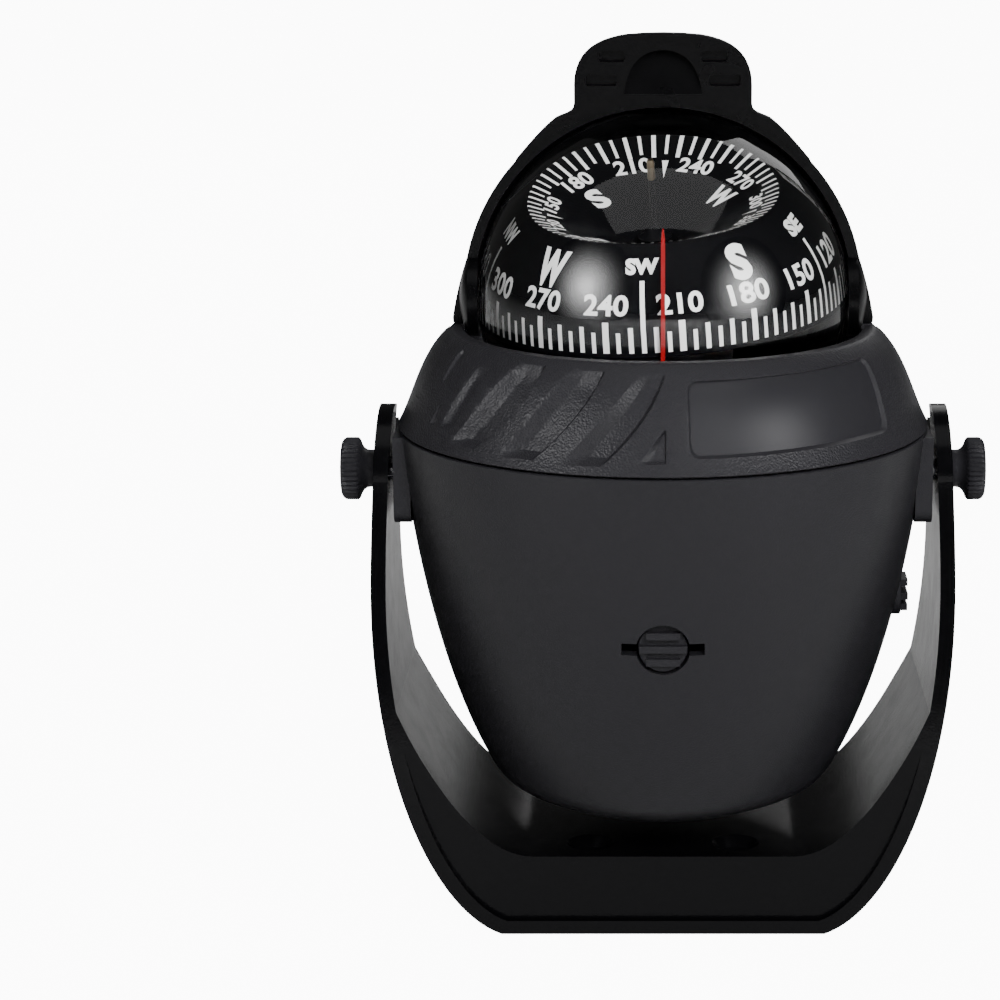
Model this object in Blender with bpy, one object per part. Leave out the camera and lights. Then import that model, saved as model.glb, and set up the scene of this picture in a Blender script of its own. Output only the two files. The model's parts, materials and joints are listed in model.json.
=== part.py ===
"""Bracket-mounted liquid compass for a dash or a cabin top.

Frame: the origin is the centre of the bracket's underside, +Z is up, the lubber
line and the front of the compass face -Y, and the tilt axis runs along X.
Lengths below are in millimetres and turn into metres when a mesh is made.
"""
import bpy
import bmesh
from math import asin, cos, degrees, pi, radians, sin, sqrt
from mathutils import Matrix, Vector

MM = 0.001

# Driving dimensions
PIVOT_Z = 59.5          # tilt axis above the base
DOME_Z = 82.7           # centre of the clear dome
DOME_R = 24.5           # outer radius of the dome
DOME_WALL = 1.4
SEAM_Z = 66.0           # joint between the bowl and the bezel
SEAM_R = 35.2
BOWL_WALL = 2.0
BELLY_R = 47.0          # belly of the bowl, round the tilt axis, so that it clears the base
LIP_Z = 79.0            # top of the bezel's front lip
CHANNEL_R = 27.8        # channel behind the dome that the hood drops into
CHANNEL_Z = 74.0
HOOD_IN, HOOD_OUT, HOOD_RIM = 25.0, 26.1, 26.4
HOOD_BACK_DEG = 108.0   # from the upright rim round to the hood's back edge
EAR_R = 5.2
CARD_R = 17.1
CARD_RIM_R = 12.5
CARD_DROP = 6.0         # the needle's tip stands this far below the centre of the dome
CARD_LEAN_DEG = 4.3     # the card floats this far out of level, towards the front
CARD_ROLL_DEG = 3.6     # and this far down at the left
FRONT_PLUG_Z = 43.3     # heights of the two compensator plugs
SIDE_PLUG_Z = 42.5
PAD_X = 35.4            # flat side pads of the bowl
ARM_THICK = 2.0
BASE_TOP = 10.5
SCREW_CIRCLE = 29.8
FLANGE_R = 28.0         # flange of the dome
GAP = 0.3               # between pieces that touch

LEAN = Matrix.Rotation(radians(CARD_LEAN_DEG), 4, "X") @ Matrix.Rotation(-radians(CARD_ROLL_DEG), 4, "Y")


# ---------------------------------------------------------------- materials
def material(name, colour, roughness, metallic=0.0, alpha=1.0):
    made = bpy.data.materials.new(name)
    made.use_nodes = True
    shader = made.node_tree.nodes["Principled BSDF"]
    shader.inputs["Base Color"].default_value = (*colour, 1.0)
    shader.inputs["Roughness"].default_value = roughness
    shader.inputs["Metallic"].default_value = metallic
    shader.inputs["Alpha"].default_value = alpha
    return made


BLACK = (0.016, 0.016, 0.018)
LOOKS = {
    "case_black": (BLACK, 0.45, 0.0),
    "bezel_black": ((0.02, 0.02, 0.022), 0.5, 0.0),
    "bracket_black": ((0.012, 0.012, 0.013), 0.4, 0.0),
    "hood_black": ((0.008, 0.008, 0.009), 0.35, 0.0),
    "inner_black": ((0.01, 0.01, 0.011), 0.6, 0.0),
    "clear": ((0.95, 0.97, 0.98), 0.05, 0.0, 0.3),
    "card_black": ((0.01, 0.01, 0.012), 0.5, 0.0),
    "foam_grey": ((0.35, 0.35, 0.34), 0.8, 0.0),
    "red": ((0.6, 0.01, 0.01), 0.4, 0.0),
    "brass": ((0.72, 0.5, 0.22), 0.3, 1.0),
    "steel": ((0.6, 0.6, 0.62), 0.3, 1.0),
    "magnet_grey": ((0.25, 0.25, 0.27), 0.4, 1.0),
    "rubber": ((0.015, 0.015, 0.015), 0.8, 0.0),
    "amber": ((0.8, 0.45, 0.1), 0.2, 0.0),
}


def finish_of(node):
    """The material that this node is made with, one for each sub-part."""
    return material(node.name, *LOOKS[node["look"]])


# ---------------------------------------------------------------- outlines
def arc(cx, cy, r, start_deg, end_deg, steps):
    """Points along an arc, both ends included."""
    angles = [radians(start_deg + (end_deg - start_deg) * i / steps) for i in range(steps + 1)]
    return [(cx + r * cos(a), cy + r * sin(a)) for a in angles]


def bezier(p0, p1, p2, p3, steps):
    """Points along a cubic curve, both ends included."""
    points = []
    for i in range(steps + 1):
        t = i / steps
        u = 1 - t
        points.append(tuple(
            u ** 3 * a + 3 * u * u * t * b + 3 * u * t * t * c + t ** 3 * d
            for a, b, c, d in zip(p0, p1, p2, p3)))
    return points


def mirrored(points):
    """A half outline at +X, joined to its mirror image."""
    return points + [(-x, z) for x, z in reversed(points) if x > 1e-6]


# ---------------------------------------------------------------- solids
def add_object(name, bm, look, smooth_deg=35):
    bmesh.ops.recalc_face_normals(bm, faces=bm.faces)
    mesh = bpy.data.meshes.new(name)
    bm.to_mesh(mesh)
    bm.free()
    mesh.transform(Matrix.Scale(MM, 4))
    mesh.shade_smooth()
    mesh.set_sharp_from_angle(angle=radians(smooth_deg))
    node = bpy.data.objects.new(name, mesh)
    bpy.context.collection.objects.link(node)
    node["look"] = look or "case_black"
    if look:
        mesh.materials.append(finish_of(node))
    return node


def lathe_bmesh(profile, segments, phase_deg=0.0):
    """Turns a closed (radius, height) outline round Z. Points on the axis become one vertex."""
    bm = bmesh.new()
    rings = []
    for r, z in profile:
        if r < 1e-6:
            rings.append([bm.verts.new((0, 0, z))] * segments)
            continue
        angles = [radians(phase_deg + 360.0 * i / segments) for i in range(segments)]
        rings.append([bm.verts.new((r * cos(a), r * sin(a), z)) for a in angles])
    for low, high in zip(rings, rings[1:] + rings[:1]):
        for i in range(segments):
            j = (i + 1) % segments
            corners = []
            for v in (low[i], low[j], high[j], high[i]):
                if v not in corners:
                    corners.append(v)
            if len(corners) > 2:
                bm.faces.new(corners)
    return bm


def lathe(name, profile, look, segments=48, smooth_deg=35):
    return add_object(name, lathe_bmesh(profile, segments), look, smooth_deg)


def along(axis, at=(0, 0, 0)):
    """Turns a solid made round Z so that it lies along X or Y, then moves it."""
    turn = {
        "X": Matrix.Rotation(radians(90), 4, "Y"),
        "-X": Matrix.Rotation(radians(-90), 4, "Y"),
        "Y": Matrix.Rotation(radians(-90), 4, "X"),
        "-Y": Matrix.Rotation(radians(90), 4, "X"),
        "Z": Matrix.Identity(4),
    }[axis]
    return Matrix.Translation(Vector(at)) @ turn


def turned(name, profile, look, axis, at, segments=24, phase_deg=0.0):
    """A turned piece round any axis. Heights in the outline run along that axis."""
    bm = lathe_bmesh(profile, segments, phase_deg)
    bmesh.ops.transform(bm, matrix=along(axis, at), verts=bm.verts)
    return add_object(name, bm, look)


def rod(r, start, end):
    return [(0, start), (r, start), (r, end), (0, end)]


def tube(r_in, r_out, start, end):
    return [(r_in, start), (r_out, start), (r_out, end), (r_in, end)]


def prism(name, outline, look, across, low, high):
    """Extrudes a flat outline: 'Y' takes (x, z) points, 'X' takes (y, z), 'Z' takes (x, y)."""
    place = {
        "Y": lambda p, d: (p[0], d, p[1]),
        "X": lambda p, d: (d, p[0], p[1]),
        "Z": lambda p, d: (p[0], p[1], d),
    }[across]
    bm = bmesh.new()
    face = bm.faces.new([bm.verts.new(place(p, low)) for p in outline])
    pushed = bmesh.ops.extrude_face_region(bm, geom=[face])["geom"]
    step = Vector(place((0, 0), high - low)) - Vector(place((0, 0), 0))
    bmesh.ops.translate(bm, verts=[v for v in pushed if isinstance(v, bmesh.types.BMVert)], vec=step)
    return add_object(name, bm, look)


def box(name, low, high, look=None):
    outline = [(low[0], low[1]), (high[0], low[1]), (high[0], high[1]), (low[0], high[1])]
    return prism(name, outline, look, "Z", low[2], high[2])


def boolean(target, tool, operation="DIFFERENCE"):
    """Adds a Boolean and hides its tool, which isn't a piece of the compass."""
    tool.hide_render = True
    tool.display_type = "WIRE"
    tool.name = f"cutter_{target.name}_{len(target.modifiers)}"
    step = target.modifiers.new(operation.title(), "BOOLEAN")
    step.operation = operation
    step.solver = "EXACT"
    step.object = tool
    return target


def cut(target, *tools):
    for tool in tools:
        boolean(target, tool)


def join(target, *tools):
    for tool in tools:
        boolean(target, tool, "UNION")


def set_axis(name, at, turn=None):
    """An empty on a joint's axis, which the moving pieces hang on."""
    axis = bpy.data.objects.new(name, None)
    bpy.context.collection.objects.link(axis)
    axis.matrix_world = Matrix.Translation(Vector(at) * MM) @ (turn or Matrix.Identity(4))
    return axis


def hang(axis, *pieces):
    """Parents pieces to an axis without moving them."""
    bpy.context.view_layer.update()
    for piece in pieces:
        piece.parent = axis
        piece.matrix_parent_inverse = axis.matrix_world.inverted()


# ---------------------------------------------------------------- bracket
def make_bracket():
    arm_outer = bezier((37.7, 68.4), (38.0, 61.0), (38.35, 54.0), (38.35, 47.0), 3)
    heel_outer = bezier((38.35, 47.0), (38.35, 24.0), (31.0, 3.5), (21.4, 0.0), 9)[1:]
    outer = arm_outer + heel_outer
    inner = []
    for i, (x, z) in enumerate(outer):
        before, after = outer[max(i - 1, 0)], outer[min(i + 1, len(outer) - 1)]
        dx, dz = after[0] - before[0], after[1] - before[1]
        length = sqrt(dx * dx + dz * dz)
        inner.append((x + ARM_THICK * dz / length, z - ARM_THICK * dx / length))
    ribbon = mirrored(outer) + list(reversed(mirrored(inner)))
    bracket = prism("bracket", ribbon, "bracket_black", "Y", -17.2, 17.2)

    shelf = bezier((35.6, 31.5), (31.0, 21.5), (24.5, BASE_TOP), (17.2, BASE_TOP), 7)
    heel_mid = [((a + c) / 2, (b + d) / 2) for (a, b), (c, d) in zip(outer, inner)][5:]
    filler = mirrored(shelf) + list(reversed(mirrored(heel_mid)))
    join(bracket, prism("filler", filler, None, "Y", -16.2, 16.2))

    side = bezier((8.7, PIVOT_Z), (10.6, 46.0), (17.2, 36.0), (17.2, 8.0), 7) + [(17.2, -1.0)]
    crown = arc(0, PIVOT_Z, 8.7, 90, 0, 6)[:-1]
    boolean(bracket, prism("side", mirrored(crown + side), None, "X", -45, 45), "INTERSECT")

    slot = arc(0, 0, 2.05, 180, 360, 8) + [(2.05, 14.0), (-2.05, 14.0)]
    tilt = radians(-36)
    slot = [(y * cos(tilt) - z * sin(tilt), PIVOT_Z + y * sin(tilt) + z * cos(tilt)) for y, z in slot]
    cut(bracket, prism("slot", slot, None, "X", -45, 45))

    cut(bracket, box("pocket", (-19.0, -13.6, -1.0), (19.0, 13.6, 7.8)))
    rib_x = box("rib_x", (-19.6, -2.0, 0.0), (19.6, 2.0, 8.4))
    rib_y = box("rib_y", (-2.0, -14.2, 0.0), (2.0, 14.2, 8.4))
    join(bracket, rib_x, rib_y)
    for x in (-9.7, 9.7):
        for y in (-10.7, 10.7):
            join(bracket, turned("post", rod(4.1, 0.0, 8.6), None, "Z", (x, y, 0)))
    screw_hole = [(0, -1.0), (2.0, -1.0), (2.0, 9.1), (3.3, BASE_TOP + 0.2), (3.3, 12.0), (0, 12.0)]
    for x in (-9.7, 9.7):
        for y in (-10.7, 10.7):
            cut(bracket, turned("hole", screw_hole, None, "Z", (x, y, 0)))
    return bracket


# ---------------------------------------------------------------- bowl
def screw_place(i):
    """Where each of the four screws stands that pull the capsule up into the bezel."""
    a = radians(45 + 90 * i)
    return SCREW_CIRCLE * cos(a), SCREW_CIRCLE * sin(a), 0


def ball_height(r, ball, centre_z):
    return centre_z - sqrt(ball * ball - r * r)


def make_lower_housing():
    foot_out, foot_in = 22.4, 20.6
    outside = bezier((35.1, 65.6), (33.5, 47.7), (28.8, 28.35), (foot_out, 18.4), 7)
    belly = [(r, ball_height(r, BELLY_R, PIVOT_Z)) for r in (21.4, 16.0, 8.0, 0.0)]
    ball_in = BELLY_R - BOWL_WALL
    inner_belly = [(r, ball_height(r, ball_in, PIVOT_Z)) for r in (0.0, 10.0, foot_in)]
    inside = bezier((foot_in + 0.6, 20.6), (26.9, 30.2), (31.5, 48.6), (33.1, 65.6), 5)
    bowl = lathe("lower_housing", outside + belly + inner_belly + inside, "case_black", 44)

    for sign in (-1, 1):
        facing = "X" if sign > 0 else "-X"
        low, high = sorted((sign * 33.15, sign * PAD_X))
        join(bowl, box("pad", (low, -8.5, 53.7), (high, 8.5, 65.4)))
        join(bowl, turned("boss", rod(4.3, 26.0, 34.0), None, facing, (0, 0, PIVOT_Z), 16))
        cut(bowl, turned("bore", rod(3.1, 27.2, 40.0), None, facing, (0, 0, PIVOT_Z), 20))
    for facing, height in (("-Y", FRONT_PLUG_Z), ("X", SIDE_PLUG_Z)):
        cut(bowl, turned("plug_hole", rod(3.4, 26.0, 40.0), None, facing, (0, 0, height), 24))
    cut(bowl, box("plug_slot", (-5.2, -40.0, FRONT_PLUG_Z - 0.8), (5.2, -26.0, FRONT_PLUG_Z + 0.8)))
    cut(bowl, box("plug_slot", (26.0, -5.2, SIDE_PLUG_Z - 0.8), (40.0, 5.2, SIDE_PLUG_Z + 0.8)))
    cut(bowl, turned("lead_hole", rod(3.3, 20.0, 34.0), None, "Y", (0, 0, 30.0), 20))
    return bowl


def make_bezel():
    outside = bezier((SEAM_R, SEAM_Z + 0.2), (33.0, 70.2), (32.4, 75.2), (28.4, 78.7), 6)
    lip = [(27.8, LIP_Z), (26.6, LIP_Z), (26.2, LIP_Z - 0.4), (26.2, 77.4), (CHANNEL_R, 75.8)]
    inside = [
        (CHANNEL_R, CHANNEL_Z), (23.6, CHANNEL_Z), (23.6, 72.7), (FLANGE_R + 0.4, 72.7), (FLANGE_R + 0.4, 70.1),
        (31.3, 70.1), (31.3, 64.0), (32.8, 64.0), (32.8, SEAM_Z + 0.2)]
    bezel = lathe("bezel_ring", outside + lip + inside, "bezel_black", 44)
    channel = arc(0, 0, CHANNEL_R - 0.3, 1, 179, 22)
    cut(bezel, prism("channel", channel, None, "Z", CHANNEL_Z + 1.0, LIP_Z + 2))
    back = [(0.5, LIP_Z + 2), (0.5, 78.4), (32.0, 77.0), (32.0, LIP_Z + 2)]
    cut(bezel, prism("back", back, None, "X", -40, 40))
    for facing in ("X", "-X"):
        pocket = [(0, 23.0), (EAR_R + 0.45, 23.0), (EAR_R + 0.45, 26.1), (3.6, 26.8), (1.7, 27.2), (0, 27.4)]
        cut(bezel, turned("ear_pocket", pocket, None, facing, (0, 0, DOME_Z)))
        cut(bezel, turned("ear_notch", rod(4.2, 26.0, 33.0), None, facing, (0, 4.3, 81.0), 20))
        low, high = (26.0, 28.3) if facing == "X" else (-28.3, -26.0)
        cut(bezel, box("leg_notch", (low, -0.35, 78.4), (high, 2.6, 84.0)))
    panel = arc(0, 0, 40.0, -84, -30.5, 5) + arc(0, 0, 24.0, -30.5, -84, 5)
    window = prism("panel", panel, None, "Z", 68.4, 77.0)
    core = bezier((34.8, 66.2), (32.6, 70.1), (32.0, 75.0), (27.9, 78.5), 6) + [(20.0, 78.5), (20.0, 66.2)]
    boolean(window, lathe("panel_floor", core, None, 44))
    cut(bezel, window)
    for i in range(4):
        cut(bezel, turned("screw_hole", rod(0.95, 60.0, 73.2), None, "Z", screw_place(i), 12))
    return bezel


# ---------------------------------------------------------------- liquid capsule
def make_dome():
    neck = degrees(asin((CHANNEL_Z - DOME_Z) / DOME_R))
    inner_r = DOME_R - DOME_WALL
    inner_neck = degrees(asin((CHANNEL_Z - DOME_Z) / inner_r))
    neck_out = DOME_R * cos(radians(neck))
    neck_in = inner_r * cos(radians(inner_neck))
    outside = arc(0, DOME_Z, DOME_R, 90, neck, 10)
    flange = [(neck_out, 72.4), (FLANGE_R, 72.4), (FLANGE_R, 70.7), (neck_in, 70.7)]
    inside = arc(0, DOME_Z, inner_r, inner_neck, 90, 8)
    outside[0] = (0.0, DOME_Z + DOME_R)
    inside[-1] = (0.0, DOME_Z + inner_r)
    return lathe("dome", outside + flange + inside, "clear", 36, 50)


def make_capsule():
    """The black cup that holds the liquid, with the dome's flange on its rim."""
    profile = [
        (31.0, 69.8), (31.0, 67.4), (24.0, 67.4), (24.0, 62.0), (22.0, 60.0), (9.0, 60.0),
        (9.0, 62.0), (3.3, 62.0), (3.3, 64.0), (21.0, 64.0), (22.0, 65.0), (22.0, 69.8)]
    capsule = lathe("capsule", profile, "inner_black", 28)
    for i in range(4):
        cut(capsule, turned("screw_hole", rod(1.25, 60.0, 74.0), None, "Z", screw_place(i), 12))
    for i in range(3):
        a = radians(35 + 120 * i)
        cut(capsule, turned("bleed", rod(1.0, 58.0, 66.0), None, "Z", (6.2 * cos(a), 6.2 * sin(a), 0), 8))
    cut(capsule, turned("fill", rod(2.0, 58.0, 66.0), None, "Z", (0.03, 16.0, 0), 14))
    cut(capsule, box("lubber_seat", (-0.95, -19.45, 63.0), (0.95, -17.55, 65.0)))
    return capsule


def capsule_pieces():
    seal = lathe("dome_seal", arc(25.6, 70.25, 0.2, 0, 300, 5), "rubber", 28)
    pieces = [make_capsule(), make_dome(), seal]
    for i in range(4):
        screw = [(0, 65.6), (1.4, 65.6), (1.4, 67.2), (0.7, 67.2), (0.7, 72.8), (0, 72.8)]
        name = f"capsule_screw_{i + 1}"
        pieces.append(turned(name, screw, "steel", "Z", screw_place(i), 10))
    bellows = [(0, 58.2), (3.0, 58.2), (4.4, 57.2), (5.8, 58.2), (8.4, 58.9), (12.0, 58.9), (12.0, 59.7),
               (8.2, 59.7), (4.4, 58.2), (3.0, 59.0), (0, 59.0)]
    pieces.append(lathe("diaphragm", bellows, "rubber", 20))
    pieces.append(lathe("diaphragm_ring", tube(9.0, 12.6, 57.2, 58.6), "inner_black", 20))
    plug = [(0, 58.4), (3.0, 58.4), (3.0, 59.7), (1.7, 59.7), (1.7, 64.2), (0, 64.2)]
    pieces.append(turned("fill_plug", plug, "brass", "Z", (0, 16.0, 0), 16))
    post = [(0, 60.4), (2.9, 60.4), (2.9, 64.3), (4.2, 64.3), (4.2, 65.6), (2.2, 67.0), (1.6, 70.5), (1.6, 72.0),
            (0.65, 72.0), (0.65, 68.0), (0, 68.0)]
    pieces.append(lathe("pivot_post", post, "inner_black", 16))
    needle = [(0, 68.3), (0.4, 68.3), (0.4, 74.4), (0, DOME_Z - CARD_DROP - 0.3)]
    pieces.append(lathe("pivot_pin", needle, "steel", 12))
    return pieces


def make_lubber_line():
    """A flat red blade that stands in front of the card and narrows at its tip."""
    outline = [(-0.6, 63.3), (0.6, 63.3), (0.6, 68.0), (0.24, 69.0), (0.24, 92.6), (0.1, 93.9),
               (-0.1, 93.9), (-0.24, 92.6), (-0.24, 69.0), (-0.6, 68.0)]
    return prism("lubber_line", outline, "red", "Y", -18.9, -18.1)


def make_lamp():
    """A small lamp that lights the card from inside the front of the capsule."""
    body = [(0, 64.3), (1.9, 64.3), (1.9, 65.3), (1.5, 65.3)] + arc(0, 68.2, 1.5, 0, 90, 4)
    body[-1] = (0, 69.7)
    return turned("lamp", body, "amber", "Z", (5.0, -17.5, 0), 14)


# ---------------------------------------------------------------- hood
def hood_shell():
    """A hollow part of a ball, swept round the X axis from its upright rim to its back edge."""
    band_deg = 6.0
    sweep = [0.0, band_deg, band_deg + 1.0]
    sweep += [band_deg + 1.0 + (HOOD_BACK_DEG - band_deg - 1.0) * i / 12 for i in range(1, 13)]
    bm = bmesh.new()
    rows = []
    for angle in sweep:
        outer = HOOD_RIM if angle <= band_deg else HOOD_OUT
        pole_out, pole_in = (degrees(asin(4.0 / r)) for r in (outer, HOOD_IN))
        outline = arc(0, 0, outer, pole_out, 180 - pole_out, 12) + arc(0, 0, HOOD_IN, 180 - pole_in, pole_in, 10)
        a = radians(angle)
        rows.append([bm.verts.new((x, r * sin(a), DOME_Z + r * cos(a))) for x, r in outline])
    for row, after in zip(rows, rows[1:]):
        for i in range(len(row)):
            j = (i + 1) % len(row)
            bm.faces.new((row[i], row[j], after[j], after[i]))
    bm.faces.new(rows[0])
    bm.faces.new(rows[-1])
    return add_object("hood", bm, "hood_black")


def make_hood():
    hood = hood_shell()
    cheek = [(0, 24.8), (2.6, 24.66), (4.0, 24.48), (EAR_R, 24.25), (EAR_R, 25.6), (4.4, 26.05), (3.3, 26.4), (1.5, 26.85), (0, 27.0)]
    for facing in ("X", "-X"):
        join(hood, turned("ear", cheek, None, facing, (0, 0, DOME_Z), 20, 4.0))
    leg = [(25.2, 89.6), (25.75, 89.6), (26.7, 86.7), (27.5, 82.6), (27.85, 80.0), (27.6, 79.1), (26.2, 79.1),
           (25.4, 82.0)]
    for sign in (-1, 1):
        join(hood, prism("leg", [(sign * x, z) for x, z in leg], None, "Y", 0.02, 1.6))
    top = [(0, 117.3), (4.9, 117.05), (7.8, 116.4), (9.7, 115.4), (11.1, 113.6), (11.6, 111.8), (11.6, 108.1)]
    flare = [(11.9, 107.3), (12.8, 106.75), (14.0, 106.3), (16.0, 104.5), (17.7, 102.7), (19.3, 100.8)]
    foot = [(18.6, 100.4), (15.0, 103.9), (10.0, 106.4), (0, 108.0)]
    join(hood, prism("grip", mirrored(top + flare + foot), None, "Y", -0.2, 2.2))
    arch = [(0, 115.1), (1.9, 114.8), (3.4, 113.8), (4.4, 112.3), (4.9, 110.8), (5.1, 109.4)]
    cut(hood, prism("arch", mirrored(arch), None, "Y", -1.0, 1.1))
    for sign in (-1, 1):
        for inner, outer, low in ((4.95, 8.4, 113.6), (6.0, 10.1, 110.5)):
            x0, x1 = sorted((sign * inner, sign * outer))
            cut(hood, box("grip_slot", (x0, -1.0, low), (x1, 0.8, low + 1.45)))
    return hood


# ---------------------------------------------------------------- card
def card_pieces():
    """The floating card and what it carries, drawn level round the dome's centre."""
    skin = [(CARD_R, -2.9)] + bezier((CARD_R, 0.0), (CARD_R, 3.3), (15.2, 5.8), (CARD_RIM_R, 9.2), 4)
    dish = [(12.1, 9.2), (2.2, 5.6), (2.2, 3.2), (1.3, 3.2), (1.3, 1.5), (3.2, 1.5), (3.2, 4.8)]
    under = [(12.1, 8.2), (14.4, 5.3), (16.2, 0.0), (16.2, -2.9)]
    card = lathe("card", skin + dish + under, "card_black", 36, 30)
    floater = lathe("float", [(5.6, -2.4), (12.4, -2.4), (13.6, 0.0), (12.6, 3.4), (11.2, 5.0), (5.6, 3.8)],
                    "foam_grey", 24)
    spider = [(1.2, 0.9), (1.2, -6.2), (2.6, -6.2), (2.6, -2.6), (4.0, -2.6), (4.0, -1.4), (5.3, -1.4), (5.3, 0.9)]
    pieces = [card, floater, lathe("magnet_carrier", spider, "inner_black", 20)]
    for name, y in (("magnet_front", -6.4), ("magnet_rear", 6.4)):
        pieces.append(turned(name, rod(1.1, -7.0, 7.0), "magnet_grey", "X", (0, y, -3.9), 12))
    jewel = [(0, 0.3), (0.35, -0.2), (0.9, -0.2), (0.9, 2.9), (0, 2.9)]
    jewel = [(r, z - CARD_DROP) for r, z in jewel]
    pieces.append(lathe("jewel_cup", jewel, "brass", 14))
    pieces.append(lathe("card_post", [(0, 5.9), (1.6, 5.9), (0.75, 6.9), (0.6, 11.4), (0.8, 11.6), (0.8, 13.3),
                                      (0.5, 13.7), (0, 13.7)], "brass", 14))
    tip = Matrix.Translation((0, 0, (DOME_Z - CARD_DROP) * MM))
    for piece in pieces:
        piece.data.transform(tip @ LEAN @ Matrix.Translation((0, 0, CARD_DROP * MM)))
    return pieces


# ---------------------------------------------------------------- controls
def knob_pieces(side, facing):
    head = [(1.85, 38.4), (2.55, 38.4), (2.55, 39.5), (3.3, 40.3), (4.2, 40.5), (4.2, 42.6), (3.9, 42.9),
            (0, 42.9), (0, 41.6), (1.85, 41.6)]
    knob = turned(f"knob_{side}", head, "case_black", facing, (0, 0, PIVOT_Z), 28)
    stud = turned(f"knob_stud_{side}", rod(1.6, 29.0, 41.3), "steel", facing, (0, 0, PIVOT_Z), 14)
    return knob, stud


def pivot_fittings(side, facing):
    insert = turned(f"thread_insert_{side}", tube(1.95, 2.8, 27.6, 35.2), "brass", facing, (0, 0, PIVOT_Z), 18)
    washer = turned(f"tooth_washer_{side}", tube(2.0, 3.2, 35.5, 35.85), "inner_black", facing,
                    (0, 0, PIVOT_Z), 20)
    return insert, washer


def compensator_pieces(name, facing, face_at, height):
    """A ribbed plug with a shaft, and the small magnet that it turns."""
    at = (0, 0, height)
    plug = [(0, 9.4), (1.8, 9.4), (1.8, face_at - 4.0), (3.1, face_at - 4.0), (3.1, face_at - 0.9),
            (0, face_at - 0.9)]
    body = turned(f"{name}_plug", plug, "case_black", facing, at, 20)
    for step in (-1.7, 0.0, 1.7):
        half = sqrt(3.1 ** 2 - (abs(step) + 0.45) ** 2) - 0.1
        if facing == "X":
            rib = box("rib", (face_at - 1.4, -half, height + step - 0.45), (face_at, half, height + step + 0.45))
        else:
            rib = box("rib", (-half, -face_at, height + step - 0.45), (half, 1.4 - face_at, height + step + 0.45))
        join(body, rib)
    bore = turned("magnet_bore", rod(1.1, -1.9, 1.9), None, "Z", (0, 0, 0), 10)
    place = 14.2
    centre = Vector((place, 0, height)) if facing == "X" else Vector((0, -place, height))
    bore.data.transform(Matrix.Translation(centre * MM))
    cut(body, bore)
    magnet = turned(f"{name}_magnet", rod(0.85, -1.6, 1.6), "magnet_grey", "Z", centre, 10)
    return body, magnet


def make_carrier():
    """The pillar inside the bowl that holds the inner ends of both compensator shafts."""
    foot_z = ball_height(7.4, BELLY_R - BOWL_WALL, PIVOT_Z) + GAP + 0.4
    arm = 3.2
    pillar = box("compensator_carrier", (-5.2, -5.2, foot_z), (5.2, 5.2, FRONT_PLUG_Z + 5.0), "inner_black")
    join(pillar, box("arm", (2.0, -arm, SIDE_PLUG_Z - arm), (11.4, arm, SIDE_PLUG_Z + arm)))
    join(pillar, box("arm", (-arm - 0.2, -11.4, FRONT_PLUG_Z - arm), (arm - 0.2, -2.0, FRONT_PLUG_Z + arm)))
    for facing, height in (("X", SIDE_PLUG_Z), ("-Y", FRONT_PLUG_Z)):
        cut(pillar, turned("socket", rod(2.1, 7.0, 17.0), None, facing, (0, 0, height), 14))
    return pillar


def make_grommet():
    """The rubber sleeve where the lamp's lead leaves the back of the bowl."""
    sleeve = [(1.5, 23.0), (2.95, 23.0), (2.95, 29.7), (4.2, 29.7), (3.6, 31.2), (1.5, 31.2)]
    return turned("lead_grommet", sleeve, "rubber", "Y", (0, 0, 30.0), 20)


def build():
    bracket = make_bracket()
    tilt = set_axis("tilt_axis", (0, 0, PIVOT_Z))
    hang(tilt, make_lower_housing(), make_bezel(), *capsule_pieces(), make_lubber_line(), make_lamp(),
         make_carrier(), make_grommet())
    roll = set_axis("hood_axis", (0, 0, DOME_Z))
    spin = set_axis("card_axis", (0, 0, DOME_Z - CARD_DROP), LEAN)
    hang(roll, make_hood())
    hang(spin, *card_pieces())
    hang(tilt, roll, spin)
    for side, facing in (("left", "-X"), ("right", "X")):
        knob_axis = set_axis(f"knob_axis_{side}", (0, 0, PIVOT_Z))
        hang(knob_axis, *knob_pieces(side, facing))
        hang(tilt, knob_axis, *pivot_fittings(side, facing))
    plugs = (("compensator_front", "-Y", 31.5, FRONT_PLUG_Z), ("compensator_side", "X", 32.9, SIDE_PLUG_Z))
    for name, facing, face_at, height in plugs:
        plug_axis = set_axis(f"{name}_axis", (0, 0, height))
        hang(plug_axis, *compensator_pieces(name, facing, face_at, height))
        hang(tilt, plug_axis)
    return bracket


for old in list(bpy.data.objects):
    bpy.data.objects.remove(old, do_unlink=True)
build()
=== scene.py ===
"""Looks for the bracket-mounted dash compass.

Frame: origin at the centre of the bracket's underside, +Z up, front -Y, tilt axis along X.
Lengths are in millimetres and turn into metres when a mesh is made.
"""
import json
from math import asin, cos, degrees, pi, radians, sin, sqrt

import bmesh
import bpy
from mathutils import Matrix, Vector


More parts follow.
